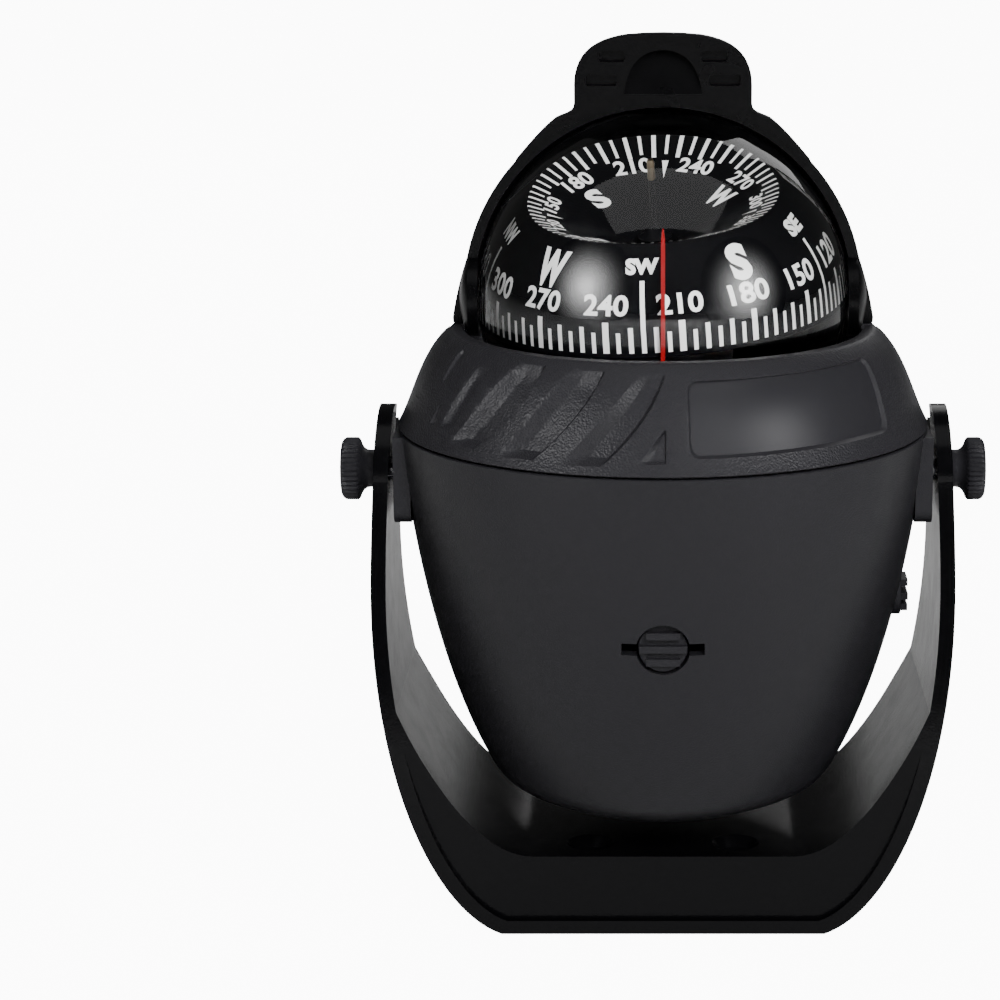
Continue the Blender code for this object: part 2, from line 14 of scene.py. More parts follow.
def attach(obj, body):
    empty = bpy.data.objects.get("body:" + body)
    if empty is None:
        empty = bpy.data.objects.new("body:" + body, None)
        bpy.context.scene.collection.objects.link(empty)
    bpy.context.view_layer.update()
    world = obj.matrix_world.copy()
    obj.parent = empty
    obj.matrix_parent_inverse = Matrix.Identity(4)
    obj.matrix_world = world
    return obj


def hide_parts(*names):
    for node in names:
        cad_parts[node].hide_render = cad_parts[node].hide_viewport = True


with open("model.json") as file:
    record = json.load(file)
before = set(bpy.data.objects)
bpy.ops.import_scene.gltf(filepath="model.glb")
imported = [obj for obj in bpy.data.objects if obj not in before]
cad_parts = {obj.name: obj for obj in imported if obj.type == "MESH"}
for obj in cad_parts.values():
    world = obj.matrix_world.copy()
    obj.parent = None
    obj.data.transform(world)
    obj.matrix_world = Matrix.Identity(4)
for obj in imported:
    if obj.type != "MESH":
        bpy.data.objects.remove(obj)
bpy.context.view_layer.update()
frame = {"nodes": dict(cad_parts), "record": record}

MM = 0.001
SMOOTH_DEG = 32         # sharper edges than this stay sharp
PIVOT_Z = 59.5          # height of the tilt axis
DOME_Z = 82.7           # height of the dome's centre, which the hood turns about
DOME_R, DOME_IN = 24.5, 23.1
FRONT_PLUG_Z, SIDE_PLUG_Z = 43.3, 42.5
PLUG_R, PLUG_HOLE_R, PLUG_SLOT = 3.1, 3.4, (5.2, 0.8)
HOOD_IN, HOOD_OUT, HOOD_RIM = 25.0, 26.1, 26.4
HOOD_BACK_DEG = 108.0   # how far the hood reaches back from straight up
CARD_R = 17.1
CARD_DROP = 6.0         # the needle's tip stands this far below the centre of the dome
LEAN = Matrix.Rotation(radians(4.3), 4, "X") @ Matrix.Rotation(radians(-3.6), 4, "Y")
CARD_PLACE = Matrix.Translation((0, 0, DOME_Z - CARD_DROP)) @ LEAN @ Matrix.Translation((0, 0, CARD_DROP))
NORTH = Matrix.Rotation(radians(218.8), 4, "Z")     # turns the card to the heading that it shows


# ---------------------------------------------------------------- materials
def new_material(name):
    made = bpy.data.materials.new(name)
    made.use_nodes = True
    return made, made.node_tree.nodes, made.node_tree.links


def plastic(name, colour, roughness, grain=None, depth=0.0, mottle=0.0, metallic=0.0, specular=0.5):
    """A moulded or metal finish. Grain is (kind, scale, detail) of the surface bump; leather has no detail."""
    made, nodes, links = new_material(name)
    shader = nodes["Principled BSDF"]
    shader.inputs["Base Color"].default_value = (*colour, 1)
    shader.inputs["Roughness"].default_value = roughness
    shader.inputs["Metallic"].default_value = metallic
    shader.inputs["Specular IOR Level"].default_value = specular
    place = nodes.new("ShaderNodeTexCoord")
    if mottle:
        cloud = nodes.new("ShaderNodeTexNoise")
        cloud.inputs["Scale"].default_value = 260.0
        cloud.inputs["Detail"].default_value = 4.0
        spread = nodes.new("ShaderNodeMapRange")
        spread.inputs["From Min"].default_value = 0.3
        spread.inputs["From Max"].default_value = 0.7
        spread.inputs["To Min"].default_value = roughness - mottle
        spread.inputs["To Max"].default_value = roughness + mottle
        links.new(place.outputs["Object"], cloud.inputs["Vector"])
        links.new(cloud.outputs["Fac"], spread.inputs["Value"])
        links.new(spread.outputs["Result"], shader.inputs["Roughness"])
    if grain:
        kind, scale, detail = grain
        if kind == "leather":
            bumps = nodes.new("ShaderNodeTexVoronoi")
            bumps.feature = "SMOOTH_F1"
            bumps.inputs["Smoothness"].default_value = 0.6
            height = bumps.outputs["Distance"]
        else:
            bumps = nodes.new("ShaderNodeTexNoise")
            bumps.inputs["Detail"].default_value = detail
            height = bumps.outputs["Fac"]
        bumps.inputs["Scale"].default_value = scale
        bump = nodes.new("ShaderNodeBump")
        bump.inputs["Strength"].default_value = 1.0
        bump.inputs["Distance"].default_value = depth
        links.new(place.outputs["Object"], bumps.inputs["Vector"])
        links.new(height, bump.inputs["Height"])
        links.new(bump.outputs["Normal"], shader.inputs["Normal"])
    return made


def clear_plastic(name, ior):
    """Clear acrylic that lets lamps through onto what is inside it."""
    made, nodes, links = new_material(name)
    shader = nodes["Principled BSDF"]
    shader.inputs["Base Color"].default_value = (0.985, 0.99, 0.99, 1)
    shader.inputs["Roughness"].default_value = 0.0
    shader.inputs["Transmission Weight"].default_value = 1.0
    shader.inputs["IOR"].default_value = ior
    path = nodes.new("ShaderNodeLightPath")
    soft = nodes.new("ShaderNodeMath")
    soft.operation = "MAXIMUM"
    through = nodes.new("ShaderNodeBsdfTransparent")
    blend = nodes.new("ShaderNodeMixShader")
    links.new(path.outputs["Is Shadow Ray"], soft.inputs[0])
    links.new(path.outputs["Is Diffuse Ray"], soft.inputs[1])
    links.new(soft.outputs[0], blend.inputs[0])
    links.new(shader.outputs["BSDF"], blend.inputs[1])
    links.new(through.outputs["BSDF"], blend.inputs[2])
    links.new(blend.outputs[0], nodes["Material Output"].inputs["Surface"])
    return made


def liquid_face(name):
    """The dome's inner face: the liquid behind it bends light as the dome does, so it can't be seen."""
    made, nodes, links = new_material(name)
    nodes.remove(nodes["Principled BSDF"])
    through = nodes.new("ShaderNodeBsdfTransparent")
    links.new(through.outputs["BSDF"], nodes["Material Output"].inputs["Surface"])
    return made


LOOKS = {
    "case_black": plastic("case_black", (0.0100, 0.0098, 0.0114), 0.40,
                          ("fine", 5200.0, 3.0), 0.00005, 0.04, 0.0, 0.18),
    "bezel_black": plastic("bezel_black", (0.0125, 0.0122, 0.0140), 0.40,
                           ("leather", 3600.0, 0.0), 0.00006, 0.05, 0.0, 0.22),
    "panel_black": plastic("panel_black", (0.0135, 0.0132, 0.0152), 0.30, None, 0.0, 0.02, 0.0, 0.3),
    "bracket_black": plastic("bracket_black", (0.0012, 0.0012, 0.0015), 0.20,
                             ("fine", 3600.0, 2.0), 0.000015, 0.03, 0.0, 0.16),
    "hood_black": plastic("hood_black", (0.0012, 0.0012, 0.0014), 0.30,
                          ("fine", 3000.0, 2.0), 0.00002, 0.04, 0.0, 0.12),
    "inner_black": plastic("inner_black", (0.007, 0.007, 0.008), 0.50,
                           ("fine", 3000.0, 2.0), 0.00003, 0.04, 0.0, 0.3),
    "card_black": plastic("card_black", (0.002, 0.002, 0.0026), 0.40,
                          ("fine", 2500.0, 2.0), 0.00001, 0.03, 0.0, 0.1),
    "print_white": plastic("print_white", (0.88, 0.88, 0.87), 0.5, ("fine", 4000.0, 2.0), 0.00001, 0.05),
    "foam_grey": plastic("foam_grey", (0.35, 0.35, 0.34), 0.85, ("leather", 1500.0, 0.0), 0.00012, 0.05),
    "red": plastic("red", (0.22, 0.0004, 0.002), 0.45, ("fine", 3000.0, 2.0), 0.00001, 0.03),
    "brass": plastic("brass", (0.78, 0.57, 0.27), 0.28, ("fine", 2500.0, 3.0), 0.00002, 0.08, 1.0),
    "worn_brass": plastic("worn_brass", (0.33, 0.27, 0.19), 0.45, ("fine", 2500.0, 3.0), 0.00003, 0.08, 1.0),
    "steel": plastic("steel", (0.62, 0.62, 0.64), 0.26, ("fine", 2500.0, 3.0), 0.00002, 0.08, 1.0),
    "magnet_grey": plastic("magnet_grey", (0.30, 0.30, 0.32), 0.42, ("fine", 1800.0, 4.0), 0.00003, 0.08, 1.0),
    "rubber": plastic("rubber", (0.018, 0.018, 0.018), 0.75, ("fine", 2200.0, 4.0), 0.00004, 0.06, 0.0, 0.3),
    "amber": plastic("amber", (0.85, 0.50, 0.10), 0.25, ("fine", 1500.0, 2.0), 0.00001, 0.05),
}
CLEAR = clear_plastic("clear", 1.475)
LIQUID = liquid_face("liquid_face")


# ---------------------------------------------------------------- outlines
def arc(cx, cy, r, start_deg, end_deg, steps):
    """Points along a circle's arc."""
    angles = [radians(start_deg + (end_deg - start_deg) * i / steps) for i in range(steps + 1)]
    return [(cx + r * cos(a), cy + r * sin(a)) for a in angles]


def bezier(p0, p1, p2, p3, steps):
    """Points along a cubic curve."""
    points = []
    for i in range(steps + 1):
        t = i / steps
        u = 1 - t
        points.append(tuple(
            u ** 3 * a + 3 * u * u * t * b + 3 * u * t * t * c + t ** 3 * d
            for a, b, c, d in zip(p0, p1, p2, p3)))
    return points


def mirrored(points):
    """An outline and its mirror image across x = 0."""
    return points + [(-x, z) for x, z in reversed(points) if x > 1e-6]


def rounded(points, radius, steps=3, least_deg=25.0):
    """A closed outline with its corners rounded off."""
    out = []
    count = len(points)
    for i, here in enumerate(points):
        here = Vector(here)
        before = Vector(points[i - 1]) - here
        after = Vector(points[(i + 1) % count]) - here
        turn = 180.0 - degrees(before.angle(after)) if before.length * after.length > 1e-9 else 0.0
        if turn < least_deg or here.x < 1e-6:
            out.append(tuple(here))
            continue
        reach = min(radius, before.length * 0.45, after.length * 0.45)
        a, b = here + before.normalized() * reach, here + after.normalized() * reach
        for k in range(steps + 1):
            t = k / steps
            out.append(tuple(a * (1 - t) ** 2 + here * 2 * t * (1 - t) + b * t * t))
    return out


# ---------------------------------------------------------------- solids
def add_object(name, bm, look=None, smooth_deg=SMOOTH_DEG):
    """Makes an object of a mesh drawn in millimetres."""
    bmesh.ops.recalc_face_normals(bm, faces=bm.faces)
    mesh = bpy.data.meshes.new(name)
    bm.to_mesh(mesh)
    bm.free()
    mesh.transform(Matrix.Scale(MM, 4))
    mesh.shade_smooth()
    mesh.set_sharp_from_angle(angle=radians(smooth_deg))
    node = bpy.data.objects.new(name, mesh)
    bpy.context.collection.objects.link(node)
    if look:
        mesh.materials.append(LOOKS[look])
    return node


def skin_rings(bm, rings):
    """Closes a ring of rings with faces. A ring of one repeated vertex is a pole."""
    count = len(rings[0])
    for low, high in zip(rings, rings[1:] + rings[:1]):
        for i in range(count):
            j = (i + 1) % count
            corners = []
            for v in (low[i], low[j], high[j], high[i]):
                if v not in corners:
                    corners.append(v)
            if len(corners) > 2:
                bm.faces.new(corners)


def lathe_bmesh(profile, segments, phase_deg=0.0):
    """Turns a closed (radius, height) profile about Z."""
    bm = bmesh.new()
    rings = []
    for r, z in profile:
        if r < 1e-6:
            rings.append([bm.verts.new((0, 0, z))] * segments)
            continue
        angles = [radians(phase_deg + 360.0 * i / segments) for i in range(segments)]
        rings.append([bm.verts.new((r * cos(a), r * sin(a), z)) for a in angles])
    skin_rings(bm, rings)
    return bm


def lathe(name, profile, look, segments, smooth_deg=SMOOTH_DEG):
    return add_object(name, lathe_bmesh(profile, segments), look, smooth_deg)


def along(axis, at):
    """Carries +Z onto an axis and the origin to a point."""
    turn = {
        "X": Matrix.Rotation(radians(90), 4, "Y"),
        "-X": Matrix.Rotation(radians(-90), 4, "Y"),
        "Y": Matrix.Rotation(radians(-90), 4, "X"),
        "-Y": Matrix.Rotation(radians(90), 4, "X"),
        "Z": Matrix.Identity(4),
    }[axis]
    return Matrix.Translation(Vector(at)) @ turn


def turned(name, profile, look, axis, at, segments, phase_deg=0.0):
    """A turned solid along an axis."""
    bm = lathe_bmesh(profile, segments, phase_deg)
    bmesh.ops.transform(bm, matrix=along(axis, at), verts=bm.verts)
    return add_object(name, bm, look)


def rod(r, start, end):
    """The profile of a plain rod."""
    return [(0, start), (r, start), (r, end), (0, end)]


def prism(name, outline, look, across, low, high):
    """An outline pushed through from low to high along the axis across it."""
    place = {
        "Y": lambda p, d: (p[0], d, p[1]),
        "X": lambda p, d: (d, p[0], p[1]),
        "Z": lambda p, d: (p[0], p[1], d),
    }[across]
    bm = bmesh.new()
    face = bm.faces.new([bm.verts.new(place(p, low)) for p in outline])
    pushed = bmesh.ops.extrude_face_region(bm, geom=[face])["geom"]
    step = Vector(place((0, 0), high - low)) - Vector(place((0, 0), 0))
    bmesh.ops.translate(bm, verts=[v for v in pushed if isinstance(v, bmesh.types.BMVert)], vec=step)
    return add_object(name, bm, look)


def box(name, low, high, look=None):
    outline = [(low[0], low[1]), (high[0], low[1]), (high[0], high[1]), (low[0], high[1])]
    return prism(name, outline, look, "Z", low[2], high[2])


def boolean(target, tool, operation="DIFFERENCE"):
    """Works a Boolean out at once and removes its tool."""
    step = target.modifiers.new(operation, "BOOLEAN")
    step.operation = operation
    step.solver = "EXACT"
    step.material_mode = "TRANSFER"
    step.object = tool
    bake(target)
    bpy.data.objects.remove(tool, do_unlink=True)


def cut(target, *tools):
    for tool in tools:
        boolean(target, tool)


def join(target, *tools):
    for tool in tools:
        boolean(target, tool, "UNION")


def bake(target):
    """Turns an object's modifiers into its mesh."""
    bpy.context.view_layer.update()
    shaped = target.evaluated_get(bpy.context.evaluated_depsgraph_get())
    mesh = bpy.data.meshes.new_from_object(shaped)
    target.modifiers.clear()
    old = target.data
    target.data = mesh
    bpy.data.meshes.remove(old)


def soften(target, width, limit_deg=40):
    """Rounds the piece's sharp edges and keeps its faces flat in the light."""
    step = target.modifiers.new("Round", "BEVEL")
    step.width = width * MM
    step.segments = 2
    step.limit_method = "ANGLE"
    step.angle_limit = radians(limit_deg)
    step.use_clamp_overlap = True
    step.miter_outer = "MITER_ARC"
    bake(target)
    target.data.shade_smooth()
    target.data.set_sharp_from_angle(angle=radians(SMOOTH_DEG))
    flat = target.modifiers.new("Flat faces", "WEIGHTED_NORMAL")
    flat.keep_sharp = True
    bake(target)


def show(piece, body, slot, *nodes):
    """The piece rides on a body and stands for CAD nodes. Its slot argument is not used."""
    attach(piece, body)
    if nodes:
        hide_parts(*nodes)
    return piece


# ---------------------------------------------------------------- bracket
def make_bracket():
    """The U bracket: a bent ribbon, trimmed to its side outline, over a hollow ribbed base."""
    arm_thick, half_width, filler_half, arm_top_r = 2.0, 17.2, 16.2, 8.7
    filler_from = 17    # the filler meets the ribbon from this point of its outline on
    post_x, post_y, rib_half = 9.7, 10.7, 2.0
    arm_outer = bezier((37.7, 68.4), (38.0, 61.0), (38.35, 54.0), (38.35, 47.0), 10)
    heel_outer = bezier((38.35, 47.0), (38.35, 24.0), (31.0, 3.5), (21.4, 0.0), 30)[1:]
    outer = arm_outer + heel_outer
    inner = []
    for i, (x, z) in enumerate(outer):
        before, after = outer[max(i - 1, 0)], outer[min(i + 1, len(outer) - 1)]
        dx, dz = after[0] - before[0], after[1] - before[1]
        length = sqrt(dx * dx + dz * dz)
        inner.append((x + arm_thick * dz / length, z - arm_thick * dx / length))
    ribbon = mirrored(outer) + list(reversed(mirrored(inner)))
    bracket = prism("bracket_shell", ribbon, "bracket_black", "Y", -half_width, half_width)
    shelf = bezier((35.6, 31.5), (31.0, 21.5), (24.5, 10.5), (17.2, 10.5), 20)
    heel_mid = [((a + c) / 2, (b + d) / 2) for (a, b), (c, d) in zip(outer, inner)][filler_from:]
    filler = mirrored(shelf) + list(reversed(mirrored(heel_mid)))
    join(bracket, prism("filler", filler, "bracket_black", "Y", -filler_half, filler_half))

    side = bezier((arm_top_r, PIVOT_Z), (10.6, 46.0), (half_width, 36.0), (half_width, 8.0), 24)
    side += [(half_width, -1.0)]
    crown = arc(0, PIVOT_Z, arm_top_r, 90, 0, 16)[:-1]
    boolean(bracket, prism("side", mirrored(crown + side), "bracket_black", "X", -45, 45), "INTERSECT")
    slot = arc(0, 0, 2.05, 180, 360, 16) + [(2.05, 14.0), (-2.05, 14.0)]
    tilt = radians(-36)
    slot = [(y * cos(tilt) - z * sin(tilt), PIVOT_Z + y * sin(tilt) + z * cos(tilt)) for y, z in slot]
    cut(bracket, prism("slot", slot, "bracket_black", "X", -45, 45))

    cut(bracket, box("pocket", (-19.0, -13.6, -1.0), (19.0, 13.6, 7.8), "bracket_black"))
    join(bracket, box("rib_x", (-19.6, -rib_half, 0.0), (19.6, rib_half, 8.4), "bracket_black"),
         box("rib_y", (-rib_half, -14.2, 0.0), (rib_half, 14.2, 8.4), "bracket_black"))
    places = [(x, y, 0) for x in (-post_x, post_x) for y in (-post_y, post_y)]
    join(bracket, *[turned("post", rod(4.1, 0.0, 8.6), "bracket_black", "Z", at, 32) for at in places])
    hole = [(0, -1.0), (2.0, -1.0), (2.0, 9.1), (3.3, 10.7), (3.3, 12.0), (0, 12.0)]
    cut(bracket, *[turned("hole", hole, "bracket_black", "Z", at, 40) for at in places])
    soften(bracket, 0.3)
    return show(bracket, "bracket", "bracket_black", "bracket")


# ---------------------------------------------------------------- bowl and bezel
def make_bowl():
    """The bowl, with its side pads, thumbscrew bosses and holes."""
    belly_r, wall, pad_half, pad_corner = 47.0, 2.0, 8.5, 2.0
    corner_y, corner_z = pad_half - pad_corner, 55.7
    slot_half, slot_rise = PLUG_SLOT
    outside = [(35.0, 65.75), (35.1, 65.6)]
    outside += bezier((35.1, 65.6), (33.5, 47.7), (28.8, 28.35), (22.4, 18.4), 30)[1:-2]
    outside += bezier(outside[-1], (22.8, 18.9), (21.9, 17.8), (20.0, 16.97), 8)[1:]
    belly = [(r, PIVOT_Z - sqrt(belly_r ** 2 - r * r)) for r in (18.5, 16.0, 12.0, 8.0, 4.0, 0.0)]
    inner_belly = [(r, PIVOT_Z - sqrt((belly_r - wall) ** 2 - r * r)) for r in (0.0, 6.0, 12.0, 18.0, 20.6)]
    inside = bezier((21.2, 20.6), (26.9, 30.2), (31.5, 48.6), (33.1, 65.6), 14) + [(33.2, 65.75)]
    bowl = lathe("bowl_shell", outside + belly + inner_belly + inside, "case_black", 144)
    for sign, facing in ((-1, "-X"), (1, "X")):
        low, high = sorted((sign * 33.15, sign * 35.4))
        corners = arc(-corner_y, corner_z, pad_corner, 180, 270, 6)
        corners += arc(corner_y, corner_z, pad_corner, 270, 360, 6) + [(pad_half, 65.4), (-pad_half, 65.4)]
        join(bowl, prism("pad", corners, "case_black", "X", low, high))
        join(bowl, turned("boss", rod(4.3, 26.0, 34.0), "case_black", facing, (0, 0, PIVOT_Z), 40))
        cut(bowl, turned("bore", rod(3.1, 27.2, 40.0), "case_black", facing, (0, 0, PIVOT_Z), 44))
    for facing, height in (("-Y", FRONT_PLUG_Z), ("X", SIDE_PLUG_Z)):
        cut(bowl, turned("plug_hole", rod(PLUG_HOLE_R, 26.0, 40.0), "case_black", facing, (0, 0, height), 48))
    cut(bowl, box("plug_slot", (-slot_half, -40.0, FRONT_PLUG_Z - slot_rise),
                  (slot_half, -26.0, FRONT_PLUG_Z + slot_rise), "case_black"),
        box("plug_slot", (26.0, -slot_half, SIDE_PLUG_Z - slot_rise),
            (40.0, slot_half, SIDE_PLUG_Z + slot_rise), "case_black"),
        turned("lead_hole", rod(3.3, 20.0, 34.0), "case_black", "Y", (0, 0, 30.0), 40))
    soften(bowl, 0.18)
    return show(bowl, "compass", "case_black", "lower_housing")


BEZEL_SIDE = ((35.2, 66.2), (33.0, 70.2), (32.4, 75.2), (28.4, 78.7))
BEZEL_CURVE = bezier(*BEZEL_SIDE, 60)


def bezel_radius(z):
    """Outer radius of the bezel at a height."""
    for (r0, z0), (r1, z1) in zip(BEZEL_CURVE, BEZEL_CURVE[1:]):
        if z0 <= z <= z1:
            return r0 + (r1 - r0) * (z - z0) / (z1 - z0)
    return BEZEL_CURVE[0][0] if z < BEZEL_CURVE[0][1] else BEZEL_CURVE[-1][0]


def on_bezel(azimuth_deg, z, out):
    """A point on the bezel's outside. Azimuth runs from the front towards +X, out is along the radius."""
    a = radians(azimuth_deg)
    r = bezel_radius(z) + out
    return Vector((r * sin(a), -r * cos(a), z))


def flute_cutter(low_left, low_right, top_left, top_right, deep, bow):
    """A pocket across the bezel: a broad slanted wall at its left and top, and a steep one at its right."""
    across = [0.0, 0.1, 0.2, 0.3, 0.42, 0.5, 0.6, 0.7, 0.8, 0.9, 0.93, 0.96, 1.0]
    up = [0.0, 0.04, 0.08, 0.16, 0.25, 0.35, 0.45, 0.55, 0.65, 0.75, 0.84, 0.92, 1.0]
    bm = bmesh.new()
    floor, cover = [], []
    for t in up:
        z = low_left[1] + (top_left[1] - low_left[1]) * t
        left = low_left[0] + (top_left[0] - low_left[0]) * t
        right = low_right[0] + (top_right[0] - low_right[0]) * t + bow * 4 * t * (1 - t)
        floor_row, cover_row = [], []
        for s in across:
            azimuth = left + (right - left) * s
            sink = deep * min(s / 0.42, 1.0, (1 - s) / 0.07) * min(1.0, t / 0.08, (1 - t) / 0.16)
            floor_row.append(bm.verts.new(on_bezel(azimuth, z, 0.015 - sink)))
            cover_row.append(bm.verts.new(on_bezel(azimuth, z, 2.0)))
        floor.append(floor_row)
        cover.append(cover_row)
    for grid in (floor, cover):
        for a, b in zip(grid, grid[1:]):
            for j in range(len(across) - 1):
                bm.faces.new((a[j], a[j + 1], b[j + 1], b[j]))
    loops = []
    for grid in (floor, cover):
        loops.append(grid[0] + [row[-1] for row in grid[1:]] + grid[-1][-2::-1] + [row[0] for row in grid[-2:0:-1]])
    for i in range(len(loops[0])):
        j = (i + 1) % len(loops[0])
        bm.faces.new((loops[0][i], loops[0][j], loops[1][j], loops[1][i]))
    return add_object("flute", bm, "bezel_black")


def make_bezel():
    """The bezel before its panel and flutes, with the space that the hood turns in."""
    lip = [(27.7, 79.0), (26.6, 79.0), (26.35, 78.9), (26.2, 78.6), (26.2, 77.4), (27.8, 75.8)]
    inside = [(27.8, 74.0), (23.6, 74.0), (23.6, 72.7), (28.4, 72.7), (28.4, 70.1),
              (31.3, 70.1), (31.3, 64.0), (32.8, 64.0), (32.8, 66.2)]
    outside = bezier(*BEZEL_SIDE, 26)
    profile = [(35.0, 66.05), (35.2, 66.2)] + outside[1:] + [(28.15, 78.88), (27.95, 78.97)] + lip + inside
    bezel = lathe("bezel_shell", profile, "bezel_black", 160)
    channel = arc(0, 0, 27.5, 1, 179, 60)
    cut(bezel, prism("channel", channel, "bezel_black", "Z", 75.0, 82.0))
    back = [(0.5, 82.0), (0.5, 78.4), (32.0, 77.0), (32.0, 82.0)]
    cut(bezel, prism("back", back, "bezel_black", "X", -40, 40))
    for facing in ("X", "-X"):
        pocket = [(0, 23.0), (5.65, 23.0), (5.65, 26.1), (3.6, 26.8), (1.7, 27.2), (0, 27.4)]
        cut(bezel, turned("ear_pocket", pocket, "bezel_black", facing, (0, 0, DOME_Z), 60))
        cut(bezel, turned("ear_notch", rod(4.2, 26.0, 33.0), "bezel_black", facing, (0, 4.3, 81.0), 48))
        low, high = (26.0, 28.3) if facing == "X" else (-28.3, -26.0)
        cut(bezel, box("leg_notch", (low, -0.35, 78.4), (high, 2.6, 84.0), "bezel_black"))
    return bezel


def bezel_patch(outline, low, high, look, flare=(1.0, 1.0)):
    """A solid that follows the bezel's outside over an (azimuth, height) outline.

    It lies between two offsets from the surface and may widen on its way out.
    """
    bm = bmesh.new()
    bm.faces.new([bm.verts.new((x, 0, z)) for x, z in outline])
    azimuths, heights = [x for x, _ in outline], [z for _, z in outline]
    for axis, first, last, pitch in ((0, min(azimuths), max(azimuths), 2.0), (2, min(heights), max(heights), 0.6)):
        at = first + pitch
        while at < last - 0.1:
            spot, normal = Vector((0, 0, 0)), Vector((0, 0, 0))
            spot[axis], normal[axis] = at, 1.0
            geometry = bm.verts[:] + bm.edges[:] + bm.faces[:]
            bmesh.ops.bisect_plane(bm, geom=geometry, dist=1e-5, plane_co=spot, plane_no=normal)
            at += pitch
    pushed = bmesh.ops.extrude_face_region(bm, geom=bm.faces[:])["geom"]
    raised = {v for v in pushed if isinstance(v, bmesh.types.BMVert)}
    centre = Vector(((min(azimuths) + max(azimuths)) / 2, 0, (min(heights) + max(heights)) / 2))
    for v in bm.verts:
        spread = v.co - centre
        if v in raised:
            spread = Vector((spread.x * flare[0], 0, spread.z * flare[1]))
        spot = centre + spread
        v.co = on_bezel(spot.x, spot.z, high if v in raised else low)
    return add_object("patch", bm, look)


def finish_bezel(bezel):
    """Cuts the panel and the flutes."""
    deg_per_mm = 1.7    # about what a millimetre spans round the bezel
    corners = [(6.0, 68.45), (57.0, 68.75), (59.6, 77.1), (6.0, 76.8)]
    squeezed = [(x / deg_per_mm, z) for x, z in corners]
    outline = [(x * deg_per_mm, z) for x, z in rounded(squeezed, 1.5, 6)]
    cut(bezel, bezel_patch(outline, -0.55, 1.5, "panel_black", (1.07, 1.24)))
    flutes = [
        ((-57.5, 69.0), (-52.5, 69.0), (-50.8, 77.1), (-46.5, 77.1), 0.5, 0.5),
        ((-51.6, 67.5), (-43.2, 67.5), (-38.6, 78.1), (-29.9, 78.1), 1.15, 1.6),
        ((-36.6, 67.3), (-27.8, 67.3), (-23.1, 78.0), (-14.0, 78.0), 1.2, 1.6),
        ((-21.6, 67.2), (-12.6, 67.2), (-5.8, 77.8), (0.6, 77.8), 1.1, 1.6),
        ((-5.2, 67.6), (0.7, 67.6), (0.3, 71.6), (0.7, 71.6), 0.6, 0.0),
        ((-61.6, 68.9), (-59.4, 68.9), (-60.0, 71.6), (-59.4, 71.6), 0.7, 0.0),
        ((-62.6, 74.2), (-61.4, 74.2), (-62.6, 78.1), (-60.4, 78.1), 0.7, 0.0),
    ]
    for flute in flutes:
        cut(bezel, flute_cutter(*flute))
    soften(bezel, 0.1, 48)
    return show(bezel, "compass", "bezel_black", "bezel_ring")


# ---------------------------------------------------------------- dome
def make_dome():
    """The clear dome and its flange. The face towards the liquid has a finish of its own."""
    neck_z, neck_r = 74.0, 22.0
    neck = degrees(asin((neck_z - DOME_Z) / DOME_R))
    inner_neck = degrees(asin((neck_z - DOME_Z) / DOME_IN))
    outside = arc(0, DOME_Z, DOME_R, 90, neck, 64)
    outside[0] = (0.0, DOME_Z + DOME_R)
    inside = arc(0, DOME_Z, DOME_IN, inner_neck, 90, 40)
    inside[-1] = (0.0, DOME_Z + DOME_IN)
    flange = [(outside[-1][0], 72.5), (27.9, 72.4), (28.0, 72.3), (28.0, 70.8), (27.9, 70.7), (inside[0][0], 70.7)]
    dome = lathe("dome_shell", outside + flange + inside, None, 144, 50)
    dome.data.materials.append(CLEAR)
    dome.data.materials.append(LIQUID)
    centre = Vector((0, 0, DOME_Z * MM))
    for face in dome.data.polygons:
        inner = (face.center - centre).length < (DOME_IN + 0.3) * MM
        in_neck = face.center.z < neck_z * MM and face.center.xy.length < neck_r * MM
        if inner or in_neck:
            face.material_index = 1
    return show(dome, "compass", "clear", "dome")


# ---------------------------------------------------------------- hood
def hood_sweep():
    """The hood's shell: a half hoop swept back over the dome, thicker over its first degrees."""
    band_deg, pole_r = 6.0, 4.0
    sweep = [0.0, 2.0, 4.0, band_deg, band_deg + 0.6]
    rest = band_deg + 0.6
    sweep += [rest + (HOOD_BACK_DEG - rest) * i / 40 for i in range(1, 41)]
    bm = bmesh.new()
    rows = []
    for angle in sweep:
        outer = HOOD_RIM if angle <= band_deg else HOOD_OUT
        pole_out, pole_in = (degrees(asin(pole_r / r)) for r in (outer, HOOD_IN))
        outline = arc(0, 0, outer, pole_out, 180 - pole_out, 48)
        outline += arc(0, 0, HOOD_IN, 180 - pole_in, pole_in, 44)
        a = radians(angle)
        rows.append([bm.verts.new((x, r * sin(a), DOME_Z + r * cos(a))) for x, r in outline])
    for row, after in zip(rows, rows[1:]):
        for i in range(len(row)):
            j = (i + 1) % len(row)
            bm.faces.new((row[i], row[j], after[j], after[i]))
    bm.faces.new(rows[0])
    bm.faces.new(rows[-1])
    return add_object("hood_shell", bm, "hood_black")


